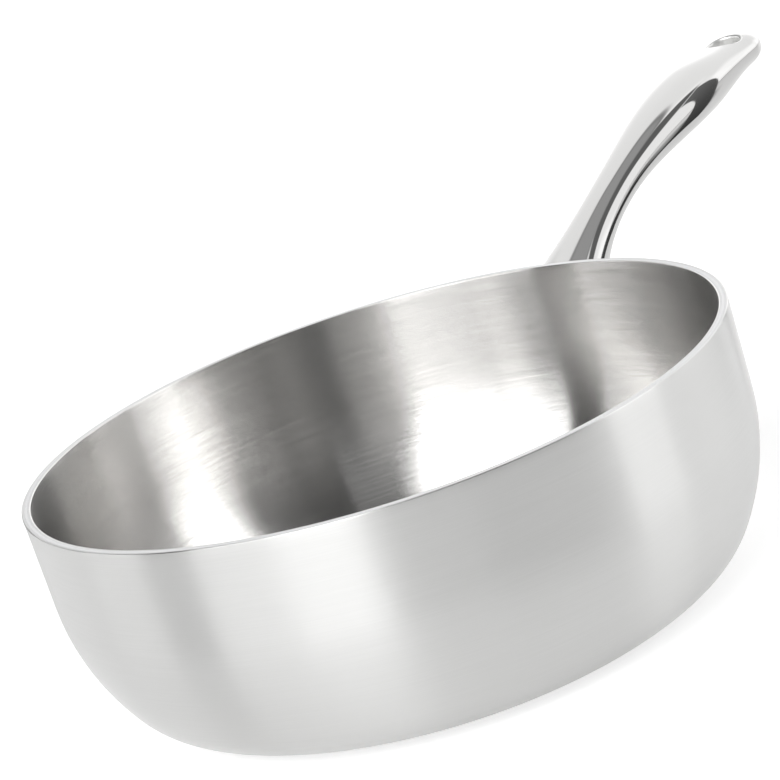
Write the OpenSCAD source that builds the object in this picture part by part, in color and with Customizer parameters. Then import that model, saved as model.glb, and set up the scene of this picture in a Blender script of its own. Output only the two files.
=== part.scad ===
// Saucier pan: a round-shouldered body pressed from five bonded layers of sheet, with a cast handle
// welded to its wall. The origin is the centre of the flat base, +Z is up, +X points along the handle.

/* [Body] */
// Inside diameter at the rim
rim_d = 240; // [200:5:300]
// Height from the flat base to the rim
pan_h = 85; // [76:1:110]
// Lean of the upper wall, narrowing downwards, in degrees
wall_lean = 0.65; // [0:0.05:2]
// Outside radius of the round shoulder below the straight wall
shoulder_r = 78; // [66:1:84]
// Turn of the shoulder before the heel begins, in degrees
shoulder_turn = 31; // [24:1:34]
// Outside radius of the heel that meets the flat base
heel_r = 27.3; // [20:0.1:30]
// Bevel on both corners of the cut rim
rim_bevel = 0.3; // [0.1:0.05:0.4]

/* [Layers] */
// Stainless steel that touches the food
cooking_t = 0.5; // [0.45:0.05:0.8]
// Alloy that bonds the cooking surface to the core
inner_alloy_t = 0.6; // [0.3:0.05:1]
// Pure aluminium core
core_t = 1.0; // [0.5:0.1:2]
// Alloy that bonds the core to the outer steel
outer_alloy_t = 0.6; // [0.3:0.05:1]
// Magnetic stainless steel on the outside
induction_t = 0.5; // [0.45:0.05:0.8]

/* [Handle] */
// Reach of the handle's tip from the wall
handle_reach = 188; // [150:1:230]
// Depth of the handle's root centre below the rim
root_drop = 19.5; // [16:0.5:24]
// Height of the tip's centre above the rim
tip_rise = 27.5; // [10:0.5:50]
// Climb of the handle where it leaves the wall, in degrees
root_climb = 34; // [20:1:40]
// Climb of the handle at its tip, in degrees
tip_climb = 3; // [-5:1:10]
// Width of the saddle at the wall
root_w = 38; // [30:1:44]
// Height of the saddle at the wall
root_h = 27; // [22:1:30]
// Distance of the waist from the wall
waist_at = 55; // [45:1:65]
// Width of the waist
waist_w = 17; // [14:0.5:24]
// Height of the waist
waist_h = 12.9; // [10:0.1:16]
// Distance of the grip's thickest place from the wall
grip_at = 130; // [110:1:140]
// Width of the grip
grip_w = 28; // [20:0.5:34]
// Height of the grip
grip_h = 20.3; // [14:0.1:24]
// Width of the handle by the hanging hole
tip_w = 25; // [23:0.5:34]
// Height of the handle by the hanging hole
tip_h = 14; // [10:0.5:18]
// Length of the rounded end
tip_round = 17; // [12:1:24]
// Diameter of the hanging hole
hole_d = 14; // [8:0.5:16]
// Distance of the hanging hole's centre from the tip
hole_from_tip = 19; // [17:0.5:24]

/* [Weld] */
// Leg of the fillet weld around the saddle
weld_leg = 2.5; // [1.5:0.1:3]

/* [Hidden] */
$fn = 360;

// Layers from the outside in: the depth of each face below the outer skin
induction_in = induction_t;
outer_alloy_in = induction_in + outer_alloy_t;
core_in = outer_alloy_in + core_t;
inner_alloy_in = core_in + inner_alloy_t;
wall_t = inner_alloy_in + cooking_t;

// Outer profile of the body, from the rim down
rim_r = rim_d / 2 + wall_t / cos(wall_lean);
heel_start = wall_lean + shoulder_turn;
shoulder_drop = shoulder_r * (sin(heel_start) - sin(wall_lean));
heel_drop = heel_r * (1 - sin(heel_start));
straight_h = pan_h - shoulder_drop - heel_drop;
wall_foot_r = rim_r - straight_h * tan(wall_lean);
shoulder_c = [wall_foot_r - shoulder_r * cos(wall_lean), pan_h - straight_h + shoulder_r * sin(wall_lean)];
heel_c = shoulder_c + (shoulder_r - heel_r) * [cos(heel_start), -sin(heel_start)];

// Angle between the points of an arc
arc_step = 3;

// Handle: a curved centre line from the wall to the tip. The curve and its flare are carried on into the
// wall, far enough for the whole saddle to be cut, and the last rings close on a small blunt point.
sink_spare = 4;
root_sink = root_h * sin(root_climb) + sink_spare;
curve_start = -0.3;
root_z = pan_h - root_drop;
wall_r = rim_r - root_drop * tan(wall_lean);
root_pull_share = 0.26;
tip_pull_share = 0.53;
root_pull = handle_reach * root_pull_share;
tip_pull = handle_reach * tip_pull_share;
line_a = [wall_r, root_z];
line_d = [wall_r + handle_reach, pan_h + tip_rise];
line_b = line_a + root_pull * [cos(root_climb), sin(root_climb)];
line_c = line_d - tip_pull * [cos(tip_climb), sin(tip_climb)];
even_run = handle_reach - tip_round;
flare_power = 2.4;
section_power = 2.3;
rings_sunk = 5;
rings_along = 44;
rings_end = 9;
ring_sides = 40;
end_size = 0.3;
hole_cut_h = 3 * tip_h;

// Weld: a hollow fillet bead around the saddle. Its section is measured in legs, along the wall and
// along the handle, and runs past both faces so that they cut its toes.
weld_rings = 18;
weld_section = [[-0.4, -0.4], [-0.12, 1.25], [0.18, 0.68], [0.38, 0.38], [0.68, 0.18], [1.25, -0.12]];

// Points along an arc, both ends included
function arc(centre, r, from, to) =
    let (steps = ceil(abs(to - from) / arc_step))
    [for (i = [0 : steps]) let (a = from + (to - from) * i / steps) centre + r * [cos(a), sin(a)]];

// Half section of one skin of the body, from the axis to the rim, at a depth below the outside
function skin(sunk) = concat(
    [[0, sunk]],
    arc(heel_c, heel_r - sunk, -90, -heel_start),
    tail(arc(shoulder_c, shoulder_r - sunk, -heel_start, -wall_lean)),
    [[rim_r - sunk / cos(wall_lean), pan_h]]
);
function tail(list) = [for (i = [1 : len(list) - 1]) list[i]];
function reversed(list) = [for (i = [len(list) - 1 : -1 : 0]) list[i]];

// The same skin with the rim's corner cut off, towards the inside (1) or the outside (-1) of the pan
function beveled(points, side) =
    let (last = len(points) - 1, top = points[last])
    concat(
        [for (i = [0 : last - 1]) points[i]],
        [top - rim_bevel * [tan(wall_lean), 1], top + [side * rim_bevel, 0]]
    );

function smooth(t) = (1 - cos(180 * min(1, max(0, t)))) / 2;
function bezier(u) = pow(1 - u, 3) * line_a + 3 * pow(1 - u, 2) * u * line_b
    + 3 * (1 - u) * u * u * line_c + pow(u, 3) * line_d;
function bezier_way(u) = pow(1 - u, 2) * (line_b - line_a) + 2 * (1 - u) * u * (line_c - line_b)
    + u * u * (line_d - line_c);

// Where on the curve the centre line is at a distance from the wall, found by halving
function curve_at(x, low = curve_start, high = 1, halvings = 24) =
    let (u = (low + high) / 2)
    halvings == 0 ? u
    : bezier(u)[0] < wall_r + x ? curve_at(x, u, high, halvings - 1)
    : curve_at(x, low, u, halvings - 1);

// A size that falls from the root to the waist, swells to the grip and falls again to the tip
function along(x, root, waist, grip, tip) =
    x < waist_at ? waist + (root - waist) * pow(1 - x / waist_at, flare_power)
    : x < grip_at ? waist + (grip - waist) * smooth((x - waist_at) / (grip_at - waist_at))
    : grip + (tip - grip) * smooth((x - grip_at) / (even_run - grip_at));

function end_share(x) = sqrt(max(0, 1 - pow(max(0, x - even_run) / tip_round, 2)));
function signed_pow(v, p) = sign(v) * pow(abs(v), p);

// One ring of the handle, square to the centre line at a distance from the wall
function ring(x) =
    let (
        u = curve_at(x),
        c = bezier(u),
        way = bezier_way(u) / norm(bezier_way(u)),
        w = max(end_size, along(x, root_w, waist_w, grip_w, tip_w) * end_share(x)),
        h = max(end_size, along(x, root_h, waist_h, grip_h, tip_h) * end_share(x))
    )
    [for (i = [0 : ring_sides - 1])
        let (
            a = 360 * i / ring_sides,
            across = w / 2 * signed_pow(cos(a), 2 / section_power),
            up = h / 2 * signed_pow(sin(a), 2 / section_power)
        )
        [c[0] - way[1] * up, across, c[1] + way[0] * up]];

// The first rings stand inside the wall, so that the saddle can be cut to the wall's own curve
handle_rings = concat(
    [for (i = [rings_sunk : -1 : 1]) ring(-root_sink * i / rings_sunk)],
    [for (i = [0 : rings_along - 1]) ring(even_run * i / rings_along)],
    [for (i = [0 : rings_end]) ring(even_run + tip_round * sin(90 * i / rings_end))]
);

// Outside radius of the body at a height, and how far a point stands outside it
function skin_r(z) = z > pan_h - straight_h ? rim_r - (pan_h - z) * tan(wall_lean)
    : shoulder_c[0] + sqrt(pow(shoulder_r, 2) - pow(z - shoulder_c[1], 2));
function stand_off(p) = norm([p[0], p[1]]) - skin_r(p[2]);

// Where one lengthwise line of the handle leaves the wall: the place, then the way the line runs there
function leaving(i, k = 1) =
    let (a = handle_rings[k - 1][i], b = handle_rings[k][i])
    stand_off(b) > 0
        ? [a + (b - a) * stand_off(a) / (stand_off(a) - stand_off(b)), (b - a) / norm(b - a)]
        : leaving(i, k + 1);

saddle = [for (i = [0 : ring_sides - 1]) leaving(i)];

function weld_ring(i) =
    let (
        before = saddle[(i + ring_sides - 1) % ring_sides][0],
        at = saddle[i][0],
        after = saddle[(i + 1) % ring_sides][0],
        outward = [at[0], at[1], 0] / norm([at[0], at[1]]),
        run = (after - before) / norm(after - before),
        spread = cross(run, outward)
    )
    [for (s = weld_section) at + weld_leg * (s[0] * spread + s[1] * saddle[i][1])];

// Faces of a skin over rings with the same number of points, seen clockwise from outside
function skin_faces(rings, sides, last) = concat(
    [for (r = [0 : last], i = [0 : sides - 1])
        [r * sides + i, (r + 1) % rings * sides + (i + 1) % sides, r * sides + (i + 1) % sides]],
    [for (r = [0 : last], i = [0 : sides - 1])
        [r * sides + i, (r + 1) % rings * sides + i, (r + 1) % rings * sides + (i + 1) % sides]]
);
function capped_faces(rings, sides) = concat(
    [[for (i = [0 : sides - 1]) i]],
    skin_faces(rings, sides, rings - 2),
    [[for (i = [sides - 1 : -1 : 0]) (rings - 1) * sides + i]]
);

// One layer of the sheet, from one skin of the body to the next one in
module ply(outer_skin, inner_skin) {
    rotate_extrude() polygon(concat(outer_skin, reversed(inner_skin)));
}

module cooking_surface() {
    color("silver") ply(skin(inner_alloy_in), beveled(skin(wall_t), 1));
}

module inner_alloy_ply() {
    color("darkgray") ply(skin(core_in), skin(inner_alloy_in));
}

module core_ply() {
    color("gainsboro") ply(skin(outer_alloy_in), skin(core_in));
}

module outer_alloy_ply() {
    color("darkgray") ply(skin(induction_in), skin(outer_alloy_in));
}

module induction_ply() {
    color("lightgray") ply(beveled(skin(0), -1), skin(induction_in));
}

// The body's outer form, solid inside and carried up past the rim, to cut what is seated on it
module body_seat() {
    rotate_extrude() polygon(concat(skin(0), [[rim_r, pan_h + root_h], [0, pan_h + root_h]]));
}

// The handle before it is cut to the wall and drilled, or only its first few rings
module handle_blank(rings) {
    points = [for (r = [0 : rings - 1], p = handle_rings[r]) p];
    polyhedron(points, capped_faces(rings, ring_sides), convexity = 6);
}

module handle() {
    hole_u = curve_at(handle_reach - hole_from_tip);
    hole_at = bezier(hole_u);
    hole_way = bezier_way(hole_u);
    color("lightsteelblue") difference() {
        handle_blank(len(handle_rings));
        body_seat();
        translate([hole_at[0], 0, hole_at[1]]) rotate([0, -atan2(hole_way[1], hole_way[0]), 0])
            cylinder(d = hole_d, h = hole_cut_h, center = true);
    }
}

module handle_weld() {
    points = [for (i = [0 : ring_sides - 1], p = weld_ring(i)) p];
    color("gray") difference() {
        polyhedron(points, skin_faces(ring_sides, len(weld_section), ring_sides - 1), convexity = 6);
        body_seat();
        handle_blank(weld_rings);
    }
}

cooking_surface();
inner_alloy_ply();
core_ply();
outer_alloy_ply();
induction_ply();
handle();
handle_weld();
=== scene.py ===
"""Saucier pan in a pale studio: turned skins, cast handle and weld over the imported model."""
import logging
import math
from dataclasses import dataclass, field
from enum import Enum
from typing import Sequence

import bpy
import numpy as np
from mathutils import Matrix, Vector


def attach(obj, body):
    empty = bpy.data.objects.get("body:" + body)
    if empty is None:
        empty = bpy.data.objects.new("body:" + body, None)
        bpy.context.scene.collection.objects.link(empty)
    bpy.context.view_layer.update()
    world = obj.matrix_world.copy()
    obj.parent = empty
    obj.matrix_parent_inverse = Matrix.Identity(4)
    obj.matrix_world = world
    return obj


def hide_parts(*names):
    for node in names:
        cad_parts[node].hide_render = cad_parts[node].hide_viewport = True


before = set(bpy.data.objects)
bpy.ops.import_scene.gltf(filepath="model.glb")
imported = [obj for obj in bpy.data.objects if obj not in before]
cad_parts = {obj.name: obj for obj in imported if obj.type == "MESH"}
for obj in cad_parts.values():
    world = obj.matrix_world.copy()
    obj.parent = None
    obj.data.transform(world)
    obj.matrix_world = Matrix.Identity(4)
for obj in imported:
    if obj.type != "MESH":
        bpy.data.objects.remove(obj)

LOG = logging.getLogger("saucier")
MM = 0.001
BODY = "root"
UV_NAME = "UVMap"
HAIRS_PER_LINE = 45.0
COARSE_SHARE = 0.17
LINES_IN_MIX = 0.7
PATCHES_IN_MIX = 0.3
QUARTER_TURN = 0.25
SHARP_ANGLE = math.radians(50.0)
WHITE = (1.0, 1.0, 1.0, 1.0)
WATTS_PER_AREA = math.pi
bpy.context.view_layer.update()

Points = list[tuple[float, float]]
Colour = tuple[float, float, float]


class Slot(Enum):
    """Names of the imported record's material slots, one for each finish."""

    COOKING_STEEL = "cooking_steel"
    BONDING_ALLOY = "bonding_alloy"
    PURE_ALUMINIUM = "pure_aluminium"
    OUTER_STEEL = "outer_steel"
    CAST_STEEL = "cast_steel"
    WELD_STEEL = "weld_steel"


class Tree:
    """Adds and links nodes in one node tree."""

    def __init__(self, tree: bpy.types.NodeTree) -> None:
        """Keeps the tree that the nodes go into."""
        self.tree = tree

    def add(self, kind: str, values: dict | None = None, **settings: object) -> bpy.types.Node:
        """Adds a node.

        Args:
            kind: The node's type name.
            values: Sockets, by name or number, with a number, a vector or another node's socket.
            **settings: Properties of the node itself.

        Returns:
            The new node.
        """
        node = self.tree.nodes.new(kind)
        for key, value in settings.items():
            setattr(node, key, value)
        for key, value in (values or {}).items():
            if isinstance(value, bpy.types.NodeSocket):
                self.tree.links.new(value, node.inputs[key])
            else:
                node.inputs[key].default_value = value
        return node

    def link(self, node: bpy.types.Node, sockets: dict[str, bpy.types.NodeSocket]) -> None:
        """Links a node's named inputs to other nodes' sockets."""
        for name, socket in sockets.items():
            self.tree.links.new(socket, node.inputs[name])

    def math(self, operation: str, *values: object) -> bpy.types.NodeSocket:
        """Adds a Math node for the values, as numbers or sockets, and gives its result's socket."""
        return self.add("ShaderNodeMath", dict(enumerate(values)), operation=operation).outputs[0]

    def total(self, *values: object) -> bpy.types.NodeSocket:
        """Adds up numbers or sockets, in order, and gives the sum's socket."""
        made = values[0]
        for value in values[1:]:
            made = self.math("ADD", made, value)
        return made

    def vector(self, operation: str, values: dict) -> bpy.types.NodeSocket:
        """Adds a Vector Math node and gives its result's socket."""
        node = self.add("ShaderNodeVectorMath", values, operation=operation)
        return node.outputs["Value" if operation == "LENGTH" else "Vector"]

    def noise(self, vector: object, scale: object, detail: float, **values: float) -> bpy.types.NodeSocket:
        """Adds a Noise Texture node.

        Args:
            vector: Where it is read.
            scale: Its scale, as a number or a socket.
            detail: Its finer layers.
            **values: Its other inputs, by name.

        Returns:
            The noise's socket.
        """
        named = {"Vector": vector, "Scale": scale, "Detail": detail, **values}
        return self.add("ShaderNodeTexNoise", named).outputs["Fac"]

    def remap(self, value: object, low: float, high: float, to_low: object, to_high: object,
              smooth: bool = False) -> bpy.types.NodeSocket:
        """Adds a Map Range node.

        Args:
            value: The socket that is read.
            low: Where the range begins.
            high: Where the range ends.
            to_low: What the beginning becomes.
            to_high: What the end becomes.
            smooth: Whether the step between them is smooth.

        Returns:
            The result's socket.
        """
        names = ("Value", "From Min", "From Max", "To Min", "To Max")
        values = dict(zip(names, (value, low, high, to_low, to_high)))
        kind = "SMOOTHSTEP" if smooth else "LINEAR"
        return self.add("ShaderNodeMapRange", values, interpolation_type=kind).outputs["Result"]

    def step(self, value: object, edge: float, half: float, rising: bool = True) -> bpy.types.NodeSocket:
        """Adds a smooth step between 0 and 1.

        Args:
            value: The socket that is read.
            edge: The middle of the step.
            half: Half of its width.
            rising: Whether it goes up.

        Returns:
            The result's socket.
        """
        low, high = (0.0, 1.0) if rising else (1.0, 0.0)
        return self.remap(value, edge - half, edge + half, low, high, smooth=True)


def empty_tree(owner: bpy.types.ID) -> Tree:
    """Gives a material or world its own empty node tree."""
    owner.use_nodes = True
    owner.node_tree.nodes.clear()
    return Tree(owner.node_tree)


def new_group(name: str, kind: str,
              sockets: Sequence[tuple]) -> tuple[Tree, bpy.types.Node, bpy.types.Node]:
    """Makes an empty node group with its sockets.

    Args:
        name: The group's name.
        kind: The type of its tree.
        sockets: Name, direction, socket type and, for an input, the value it starts with.

    Returns:
        The tree, its input node and its output node.
    """
    group = bpy.data.node_groups.new(name, kind)
    for label, way, socket_type, *start in sockets:
        socket = group.interface.new_socket(label, in_out=way, socket_type=socket_type)
        if start:
            socket.default_value = start[0]
    tree = Tree(group)
    return tree, tree.add("NodeGroupInput"), tree.add("NodeGroupOutput")


def brushing_group() -> bpy.types.NodeTree:
    """Fine lines that run round the pan's axis, with broad uneven patches.

    Returns:
        The shader group, which is made once.
    """
    name = "brushing round the axis"
    if name in bpy.data.node_groups:
        return bpy.data.node_groups[name]
    tree, given, result = new_group(name, "ShaderNodeTree", (
        ("Position", "INPUT", "NodeSocketVector"),
        ("Lines per metre", "INPUT", "NodeSocketFloat", 2600.0),
        ("Line breaks", "INPUT", "NodeSocketFloat", 3.0),
        ("Patches per metre", "INPUT", "NodeSocketFloat", 14.0),
        ("Tilt", "INPUT", "NodeSocketFloat", 1.0),
        ("Lines", "OUTPUT", "NodeSocketFloat"),
        ("Coarse lines", "OUTPUT", "NodeSocketFloat"),
        ("Patches", "OUTPUT", "NodeSocketFloat"),
        ("Normal", "OUTPUT", "NodeSocketVector"),
    ))
    position = given.outputs["Position"]
    axes = tree.add("ShaderNodeSeparateXYZ", {0: position})
    flat = tree.add("ShaderNodeCombineXYZ", {"X": axes.outputs["X"], "Y": axes.outputs["Y"]})
    radius = tree.vector("LENGTH", {0: flat.outputs[0]})
    heading = tree.vector("NORMALIZE", {0: flat.outputs[0]})
    run = tree.math("ADD", radius, axes.outputs["Z"])
    across = tree.math("MULTIPLY", run, given.outputs["Lines per metre"])
    turned = tree.vector("SCALE", {0: heading, "Scale": given.outputs["Line breaks"]})
    parts = tree.add("ShaderNodeSeparateXYZ", {0: turned})

    def lines_at(share: float, detail: float, roughness: float) -> bpy.types.NodeSocket:
        """Gives noise drawn out round the axis, at a share of the lines' pitch."""
        scaled = tree.math("MULTIPLY", across, share)
        spot = tree.add("ShaderNodeCombineXYZ", {
            "X": parts.outputs["X"], "Y": parts.outputs["Y"], "Z": scaled})
        return tree.noise(spot.outputs[0], 1.0, detail, Roughness=roughness)

    lean = tree.math("SUBTRACT", lines_at(HAIRS_PER_LINE, 1.0, 0.5), 0.5)
    tilt = tree.math("MULTIPLY", lean, given.outputs["Tilt"])
    upright = tree.add("ShaderNodeNewGeometry").outputs["Normal"]
    grain = tree.vector("CROSS_PRODUCT", {0: (0.0, 0.0, 1.0), 1: heading})
    over = tree.vector("CROSS_PRODUCT", {0: upright, 1: grain})
    leant = tree.vector("SCALE", {0: over, "Scale": tilt})
    tree.link(result, {
        "Lines": lines_at(1.0, 3.0, 0.7),
        "Coarse lines": lines_at(COARSE_SHARE, 2.0, 0.6),
        "Patches": tree.noise(position, given.outputs["Patches per metre"], 2.0),
        "Normal": tree.vector("NORMALIZE", {0: tree.vector("ADD", {0: upright, 1: leant})}),
    })
    return tree.tree


def handling_group() -> bpy.types.NodeTree:
    """Faint uneven gloss, as polished metal has from wiping and handling.

    Returns:
        The shader group, which is made once.
    """
    name = "handling marks"
    if name in bpy.data.node_groups:
        return bpy.data.node_groups[name]
    tree, given, result = new_group(name, "ShaderNodeTree", (
        ("Position", "INPUT", "NodeSocketVector"),
        ("Marks per metre", "INPUT", "NodeSocketFloat", 60.0),
        ("Least", "INPUT", "NodeSocketFloat", 0.04),
        ("Most", "INPUT", "NodeSocketFloat", 0.08),
        ("Roughness", "OUTPUT", "NodeSocketFloat"),
        ("Height", "OUTPUT", "NodeSocketFloat"),
    ))
    spots = tree.noise(given.outputs["Position"], given.outputs["Marks per metre"], 4.0)
    level = tree.remap(spots, 0.35, 0.7, given.outputs["Least"], given.outputs["Most"])
    tree.link(result, {"Roughness": level, "Height": spots})
    return tree.tree


def bare_metal(
        name: str, group: bpy.types.NodeTree, values: dict[str, float], constants: dict[str, object],
) -> tuple[bpy.types.Material, Tree, bpy.types.Node, bpy.types.Node]:
    """Makes a metal material with a Principled shader and a pattern group on Object coordinates.

    Args:
        name: The material's name.
        group: The pattern's shader group.
        values: The group's inputs that this metal sets.
        constants: The shader's inputs that are the same all over.

    Returns:
        The material, its tree, the shader and the pattern's node.
    """
    made = bpy.data.materials.new(name)
    tree = empty_tree(made)
    shader = tree.add("ShaderNodeBsdfPrincipled", {"Metallic": 1.0, **constants})
    tree.add("ShaderNodeOutputMaterial", {"Surface": shader.outputs[0]})
    place = tree.add("ShaderNodeTexCoord").outputs["Object"]
    pattern = tree.add("ShaderNodeGroup", node_tree=group)
    tree.link(pattern, {"Position": place})
    for label, value in values.items():
        pattern.inputs[label].default_value = value
    return made, tree, shader, pattern


@dataclass(frozen=True)
class BrushedSteel:
    """Sheet steel brushed round the pan's axis."""

    name: str
    slot: Slot
    colour: Colour
    dull_colour: Colour
    roughness: float
    roughness_spread: float
    anisotropy: float
    lines_per_m: float = 2600.0
    line_breaks: float = 3.0
    line_depth: float = 0.000004
    line_strength: float = 0.2
    groove_tilt: float = 1.2

    def material(self) -> bpy.types.Material:
        """Makes the material with its lines, patches and tangent."""
        made, tree, shader, brushing = bare_metal(self.name, brushing_group(), {
            "Lines per metre": self.lines_per_m, "Line breaks": self.line_breaks,
            "Tilt": self.groove_tilt}, {
            "Anisotropic": self.anisotropy, "Anisotropic Rotation": QUARTER_TURN})
        lines = brushing.outputs["Lines"]
        mixed = tree.math("ADD", tree.math("MULTIPLY", lines, LINES_IN_MIX),
                          tree.math("MULTIPLY", brushing.outputs["Patches"], PATCHES_IN_MIX))
        tone = tree.add("ShaderNodeMix", {"Factor": tree.remap(mixed, 0.35, 0.65, 0.0, 1.0)},
                        data_type="RGBA")
        tone.inputs["A"].default_value = (*self.dull_colour, 1.0)
        tone.inputs["B"].default_value = (*self.colour, 1.0)
        low = self.roughness - self.roughness_spread
        high = self.roughness + self.roughness_spread
        tangent = tree.add("ShaderNodeTangent", direction_type="UV_MAP", uv_map=UV_NAME)
        height = tree.math("ADD", lines, brushing.outputs["Coarse lines"])
        bump = tree.add("ShaderNodeBump", {
            "Height": height, "Distance": self.line_depth, "Strength": self.line_strength,
            "Normal": brushing.outputs["Normal"]})
        tree.link(shader, {
            "Base Color": tone.outputs["Result"], "Roughness": tree.remap(mixed, 0.3, 0.7, high, low),
            "Tangent": tangent.outputs[0], "Normal": bump.outputs[0]})
        return made


@dataclass(frozen=True)
class PolishedSteel:
    """Cast steel polished to a mirror."""

    name: str
    slot: Slot
    colour: Colour
    least_roughness: float
    most_roughness: float
    ripple: float = 0.00001
    strength: float = 0.3

    def material(self) -> bpy.types.Material:
        """Makes the material with its faint uneven gloss."""
        made, tree, shader, marks = bare_metal(self.name, handling_group(), {
            "Least": self.least_roughness, "Most": self.most_roughness}, {
            "Base Color": (*self.colour, 1.0)})
        bump = tree.add("ShaderNodeBump", {
            "Height": marks.outputs["Height"], "Distance": self.ripple, "Strength": self.strength})
        tree.link(shader, {"Roughness": marks.outputs["Roughness"], "Normal": bump.outputs[0]})
        return made


@dataclass(frozen=True)
class CutEdgeMetal:
    """A bonded layer that shows only as a cut and polished edge at the rim."""

    name: str
    slot: Slot
    colour: Colour
    roughness: float
    roughness_spread: float = 0.06
    lines_per_m: float = 9000.0
    line_depth: float = 0.000005
    line_strength: float = 0.3

    def material(self) -> bpy.types.Material:
        """Makes the material with its turning lines."""
        made, tree, shader, brushing = bare_metal(self.name, brushing_group(), {
            "Lines per metre": self.lines_per_m}, {"Base Color": (*self.colour, 1.0)})
        lines = brushing.outputs["Lines"]
        low = self.roughness - self.roughness_spread
        high = self.roughness + self.roughness_spread
        bump = tree.add("ShaderNodeBump", {
            "Height": lines, "Distance": self.line_depth, "Strength": self.line_strength})
        tree.link(shader, {
            "Roughness": tree.remap(lines, 0.3, 0.7, low, high), "Normal": bump.outputs[0]})
        return made


COOKING_STEEL = BrushedSteel(
    "cooking steel, brushed", Slot.COOKING_STEEL, (0.74, 0.733, 0.722), (0.61, 0.603, 0.592),
    0.24, 0.02, 1.0, lines_per_m=1000.0, line_strength=0.3, groove_tilt=0.7)
OUTER_STEEL = BrushedSteel(
    "outer steel, satin", Slot.OUTER_STEEL, (0.635, 0.635, 0.628), (0.605, 0.605, 0.598),
    0.31, 0.02, 1.0, lines_per_m=4200.0, line_strength=0.12, groove_tilt=0.3)
CAST_STEEL = PolishedSteel(
    "cast steel, mirror polished", Slot.CAST_STEEL, (0.55, 0.547, 0.542), 0.04, 0.07)
# The hole's bore: satin roughness, which is real, and a lighter colour (0.80 against the cast steel's
# 0.55), which is painted light that brightens the hole.
SATIN_BORE_PAINTED_LIGHT = PolishedSteel(
    "cast steel, satin bore with painted light", Slot.CAST_STEEL, (0.80, 0.80, 0.79), 0.42, 0.5, ripple=0.00002)
WELD_STEEL = PolishedSteel(
    "weld steel, brushed clean", Slot.WELD_STEEL, (0.62, 0.60, 0.58), 0.28, 0.42, ripple=0.00008)
BONDING_ALLOY = CutEdgeMetal(
    "bonding alloy, cut edge", Slot.BONDING_ALLOY, (0.53, 0.53, 0.535), 0.32)
PURE_ALUMINIUM = CutEdgeMetal(
    "pure aluminium, cut edge", Slot.PURE_ALUMINIUM, (0.57, 0.57, 0.575), 0.28)


def mesh_object(name: str, points: np.ndarray, faces: Sequence[Sequence[int]]) -> bpy.types.Object:
    """Makes a smooth mesh object at the origin.

    Args:
        name: The piece's name.
        points: Its vertices, in metres.
        faces: Its faces, as vertex numbers.

    Returns:
        The object, linked to the scene.
    """
    mesh = bpy.data.meshes.new(name)
    mesh.from_pydata([tuple(map(float, p)) for p in points], [], [tuple(f) for f in faces])
    mesh.validate()
    mesh.shade_smooth()
    return linked(name, mesh)


def linked(name: str, data: bpy.types.ID) -> bpy.types.Object:
    """Makes an object for a mesh, a lamp or a camera and links it to the scene."""
    made = bpy.data.objects.new(name, data)
    bpy.context.scene.collection.objects.link(made)
    return made


def baked(source: bpy.types.Object, name: str) -> bpy.types.Object:
    """Turns an object with live modifiers into a plain mesh piece.

    Args:
        source: The object, which is removed.
        name: The new piece's name.

    Returns:
        The plain piece.
    """
    graph = bpy.context.evaluated_depsgraph_get()
    mesh = bpy.data.meshes.new_from_object(
        source.evaluated_get(graph), preserve_all_data_layers=True, depsgraph=graph)
    mesh.name = name
    source.modifiers.clear()
    bpy.data.objects.remove(source)
    return linked(name, mesh)


def signed_volume(mesh: bpy.types.Mesh) -> float:
    """Gives the volume inside a closed mesh, negative where its faces point inwards."""
    mesh.calc_loop_triangles()
    corners = np.zeros(len(mesh.loop_triangles) * 3, np.int32)
    mesh.loop_triangles.foreach_get("vertices", corners)
    places = np.zeros(len(mesh.vertices) * 3, np.float32)
    mesh.vertices.foreach_get("co", places)
    a, b, c = places.reshape(-1, 3)[corners.reshape(-1, 3)].transpose(1, 0, 2).astype(float)
    return float(np.einsum("ij,ij->i", a, np.cross(b, c)).sum() / 6)


def facing_out(piece: bpy.types.Object) -> bpy.types.Object:
    """Turns a closed piece's faces outwards where they point inwards."""
    if signed_volume(piece.data) < 0:
        piece.data.flip_normals()
    return piece


def dressed(piece: bpy.types.Object, materials: Sequence[bpy.types.Material], slot: Slot,
            *nodes: str) -> bpy.types.Object:
    """Gives a finished piece its materials and its body, and hides the CAD nodes that it stands for.

    Args:
        piece: The finished piece.
        materials: Its materials, in the order of its faces' numbers.
        slot: The record's material slot; it is not used.
        *nodes: The CAD nodes that it replaces.

    Returns:
        The same piece.
    """
    numbers = [face.material_index for face in piece.data.polygons]
    piece.data.materials.clear()
    for material in materials:
        piece.data.materials.append(material)
    piece.data.polygons.foreach_set("material_index", numbers)
    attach(piece, BODY)
    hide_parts(*nodes)
    LOG.info("%s: %d faces, replaces %s", piece.name, len(piece.data.polygons), ", ".join(nodes))
    return piece


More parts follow.
